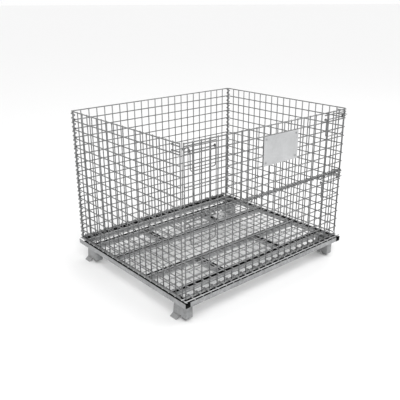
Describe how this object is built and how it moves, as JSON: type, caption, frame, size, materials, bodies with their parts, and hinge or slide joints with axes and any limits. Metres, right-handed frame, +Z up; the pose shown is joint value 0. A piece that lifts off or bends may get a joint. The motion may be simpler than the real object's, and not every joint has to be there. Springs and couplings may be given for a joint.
{
  "type": "wire mesh container",
  "caption": "Collapsible wire mesh container with swinging side panels, a fold-in front, a half drop gate and a channel base on formed feet.",
  "frame": {"origin": "centre of the overall box at floor level, under the feet", "axes": "+Z up; +X along the long front from left to right; -Y is the drop gate side"},
  "size_m": [1.2066, 1.0058, 0.9042],
  "materials": {
    "mesh_wire": "bright zinc plated wire",
    "coil_wire": "zinc plated spring wire",
    "latch_wire": "zinc plated wire, worn by handling",
    "galvanised_channel": "galvanised folded sheet",
    "formed_foot": "galvanised pressed sheet",
    "sheet_plate": "satin zinc plated sheet",
    "fixings": "zinc plated"
  },
  "bodies": {
    "base": {"side_rail_left": "galvanised_channel", "side_rail_right": "galvanised_channel", "front_edge_rail": "galvanised_channel", "front_inner_rail": "galvanised_channel", "front_middle_rail": "galvanised_channel", "rear_middle_rail": "galvanised_channel", "rear_inner_rail": "galvanised_channel", "rear_edge_rail": "galvanised_channel", "front_spacer_left": "galvanised_channel", "front_spacer_right": "galvanised_channel", "rear_spacer_left": "galvanised_channel", "rear_spacer_right": "galvanised_channel", "front_foot_left": "formed_foot", "front_foot_right": "formed_foot", "rear_foot_left": "formed_foot", "rear_foot_right": "formed_foot", "floor_long_wires": "mesh_wire", "floor_short_wires": "mesh_wire", "rear_uprights": "mesh_wire", "rear_cross_wires": "mesh_wire", "rear_coil_left": "coil_wire", "rear_coil_right": "coil_wire", "front_floor_clips": "coil_wire", "rear_floor_clips": "coil_wire"},
    "left_side": {"side_uprights_left": "mesh_wire", "side_cross_wires_left": "mesh_wire", "latch_keepers_left": "latch_wire"},
    "right_side": {"side_uprights_right": "mesh_wire", "side_cross_wires_right": "mesh_wire", "latch_keepers_right": "latch_wire"},
    "front_panel": {"front_uprights": "mesh_wire", "front_cross_wires": "mesh_wire", "front_hinge_wire": "mesh_wire", "gate_coil": "coil_wire", "front_latch_bars_left": "latch_wire", "front_latch_bars_right": "latch_wire"},
    "drop_gate": {"gate_uprights": "mesh_wire", "gate_cross_wires": "mesh_wire", "blank_plate": "sheet_plate", "plate_straps": "fixings", "plate_rivets": "fixings", "gate_latch_bars_left": "latch_wire", "gate_latch_bars_right": "latch_wire"},
    "gate_hook_left": {"gate_hook_left": "latch_wire"},
    "gate_hook_right": {"gate_hook_right": "latch_wire"},
    "front_hook_left": {"front_hook_left": "latch_wire"},
    "front_hook_right": {"front_hook_right": "latch_wire"},
    "gate_handle_left": {"gate_handle_left": "latch_wire"},
    "gate_handle_right": {"gate_handle_right": "latch_wire"},
    "front_handle_left": {"front_handle_left": "latch_wire"},
    "front_handle_right": {"front_handle_right": "latch_wire"}
  },
  "joints": [
    {"name": "left_side_swing", "type": "hinge", "parent": "base", "child": "left_side", "pos_m": [-0.58925, 0.4749, 0.5], "axis": [0, 0, 1], "range_deg": [0, 90]},
    {"name": "right_side_swing", "type": "hinge", "parent": "base", "child": "right_side", "pos_m": [0.58925, 0.4749, 0.5], "axis": [0, 0, -1], "range_deg": [0, 83]},
    {"name": "front_fold", "type": "hinge", "parent": "base", "child": "front_panel", "pos_m": [0, -0.4719, 0.1452], "axis": [-1, 0, 0], "range_deg": [0, 90]},
    {"name": "gate_drop", "type": "hinge", "parent": "front_panel", "child": "drop_gate", "pos_m": [0, -0.4839, 0.55167], "axis": [1, 0, 0], "range_deg": [0, 150]},
    {"name": "gate_hook_left_turn", "type": "hinge", "parent": "drop_gate", "child": "gate_hook_left", "pos_m": [-0.57775, -0.4779, 0.87623], "axis": [0, 0, 1], "range_deg": [-180, 0]},
    {"name": "gate_hook_right_turn", "type": "hinge", "parent": "drop_gate", "child": "gate_hook_right", "pos_m": [0.57775, -0.4779, 0.87623], "axis": [0, 0, -1], "range_deg": [-180, 0]},
    {"name": "front_hook_left_turn", "type": "hinge", "parent": "front_panel", "child": "front_hook_left", "pos_m": [-0.57775, -0.4779, 0.5197], "axis": [0, 0, 1], "range_deg": [-180, 0]},
    {"name": "front_hook_right_turn", "type": "hinge", "parent": "front_panel", "child": "front_hook_right", "pos_m": [0.57775, -0.4779, 0.5197], "axis": [0, 0, -1], "range_deg": [-180, 0]},
    {"name": "gate_handle_left_lift", "type": "hinge", "parent": "drop_gate", "child": "gate_handle_left", "pos_m": [-0.55263, -0.4839, 0.86373], "axis": [1, 0, 0], "range_deg": [-90, 0]},
    {"name": "gate_handle_right_lift", "type": "hinge", "parent": "drop_gate", "child": "gate_handle_right", "pos_m": [0.55263, -0.4839, 0.86373], "axis": [1, 0, 0], "range_deg": [-90, 0]},
    {"name": "front_handle_left_lift", "type": "hinge", "parent": "front_panel", "child": "front_handle_left", "pos_m": [-0.55263, -0.4839, 0.5072], "axis": [1, 0, 0], "range_deg": [-90, 0]},
    {"name": "front_handle_right_lift", "type": "hinge", "parent": "front_panel", "child": "front_handle_right", "pos_m": [0.55263, -0.4839, 0.5072], "axis": [1, 0, 0], "range_deg": [-90, 0]}
  ]
}
